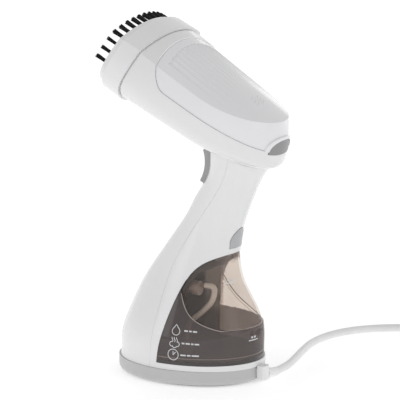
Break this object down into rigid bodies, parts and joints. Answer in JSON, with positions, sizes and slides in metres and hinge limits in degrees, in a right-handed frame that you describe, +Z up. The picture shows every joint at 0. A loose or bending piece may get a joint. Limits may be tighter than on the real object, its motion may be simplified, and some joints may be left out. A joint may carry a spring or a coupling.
{
  "type": "handheld garment steamer",
  "caption": "Handheld garment steamer with a tilted steam head, clip-on brush, trigger grip and a removable see-through tank in its bell-shaped foot.",
  "frame": {"origin": "centre of the rubber sole's underside, on the surface the steamer stands on", "axes": "+Z up; -X the way the steam leaves the head; +X the tank and the mains lead; X-Z is the plane of symmetry"},
  "size_m": [0.291, 0.2771, 0.2973],
  "materials": {
    "rubber_sole": "matt black rubber",
    "grey_skirt": "satin light grey plastic",
    "inner_plastic": "natural moulded plastic",
    "steel_screw": "zinc plated steel",
    "white_shell": "glossy white plastic",
    "white_cover": "glossy white plastic",
    "white_brush": "glossy white plastic",
    "smoke_clear": "clear smoky brown plastic",
    "smoke_dark": "dark smoky brown plastic",
    "silicone": "translucent silicone",
    "hose_clear": "milky silicone hose",
    "pump_body": "black moulded pump",
    "wire_sleeve": "braided sleeve",
    "grey_trigger": "mid grey satin plastic",
    "grey_button": "dark grey satin plastic",
    "grey_release": "light grey satin plastic",
    "spring_steel": "spring steel",
    "switch_black": "black switch housing",
    "board_green": "green circuit board",
    "steam_plate": "pressed aluminium",
    "cast_aluminium": "die-cast aluminium",
    "heater_steel": "sheathed heating tube",
    "thermostat_steel": "plated steel",
    "black_bristle": "black nylon",
    "gland_white": "white flexible plastic",
    "cord_white": "white flexible sheath",
    "tie_black": "black paper-wire tie",
    "plug_white": "white moulded plug",
    "pin_nickel": "nickel plated brass"
  },
  "bodies": {
    "handle": {"anti_slip_sole": "rubber_sole", "base_skirt": "grey_skirt", "base_plate": "inner_plastic", "base_screws": "steel_screw", "handle_front_shell": "white_shell", "handle_rear_shell": "white_shell", "dock_tower": "smoke_dark", "tank_coupling": "inner_plastic", "coupling_seal": "silicone", "water_pump": "pump_body", "pump_mounts": "silicone", "pump_inlet_hose": "hose_clear", "pump_outlet_hose": "hose_clear", "wire_harness": "wire_sleeve", "trigger_pin": "steel_screw", "trigger_spring": "spring_steel", "trigger_switch": "switch_black", "release_spring": "spring_steel", "head_main_shell": "white_shell", "head_top_cover": "white_cover", "power_button_spring": "spring_steel", "power_switch": "switch_black", "control_board": "board_green", "steam_plate": "steam_plate", "plate_gasket": "silicone", "boiler_block": "cast_aluminium", "boiler_lid": "cast_aluminium", "heating_element": "heater_steel", "thermostat": "thermostat_steel", "thermal_fuse": "thermostat_steel", "cord_gland": "gland_white", "cord_clamp": "inner_plastic", "lead_inner": "cord_white", "power_cord": "cord_white", "power_cord_coil": "cord_white", "power_cord_tail": "cord_white", "cord_tie": "tie_black", "plug_body": "plug_white", "plug_pins": "pin_nickel"},
    "tank": {"water_tank": "smoke_clear", "tank_base": "smoke_dark", "tank_valve": "smoke_dark", "suction_hose": "hose_clear", "suction_filter": "smoke_dark"},
    "filler_plug": {"filler_plug": "silicone"},
    "trigger": {"trigger": "grey_trigger"},
    "release_button": {"release_button": "grey_release"},
    "power_button": {"power_button": "grey_button"},
    "brush": {"brush_frame": "white_brush", "brush_bristles": "black_bristle"}
  },
  "joints": [
    {"name": "trigger_hinge", "type": "hinge", "parent": "handle", "child": "trigger", "pos_m": [0.0265, 0, 0.188], "axis": [0, -1, 0], "range_deg": [0, 8], "stiffness_Nm_per_rad": 0.6, "springref_deg": -8.59, "deforming": ["trigger_spring"]},
    {"name": "power_button_slide", "type": "slide", "parent": "handle", "child": "power_button", "axis": [-0.891, 0, 0.454], "range_m": [0, 0.0015], "stiffness_N_per_m": 1200, "springref_m": -0.0008, "deforming": ["power_button_spring"]},
    {"name": "release_button_slide", "type": "slide", "parent": "handle", "child": "release_button", "axis": [-1, 0, 0], "range_m": [0, 0.0025], "stiffness_N_per_m": 800, "springref_m": -0.001, "deforming": ["release_spring"]},
    {"name": "tank_slide", "type": "slide", "parent": "handle", "child": "tank", "axis": [1, 0, 0], "range_m": [0, 0.09]},
    {"name": "filler_plug_pull", "type": "slide", "parent": "tank", "child": "filler_plug", "axis": [-1, 0, 0], "range_m": [0, 0.007]},
    {"name": "brush_pull", "type": "slide", "parent": "handle", "child": "brush", "axis": [-0.891, 0, 0.454], "range_m": [0, 0.04]}
  ]
}
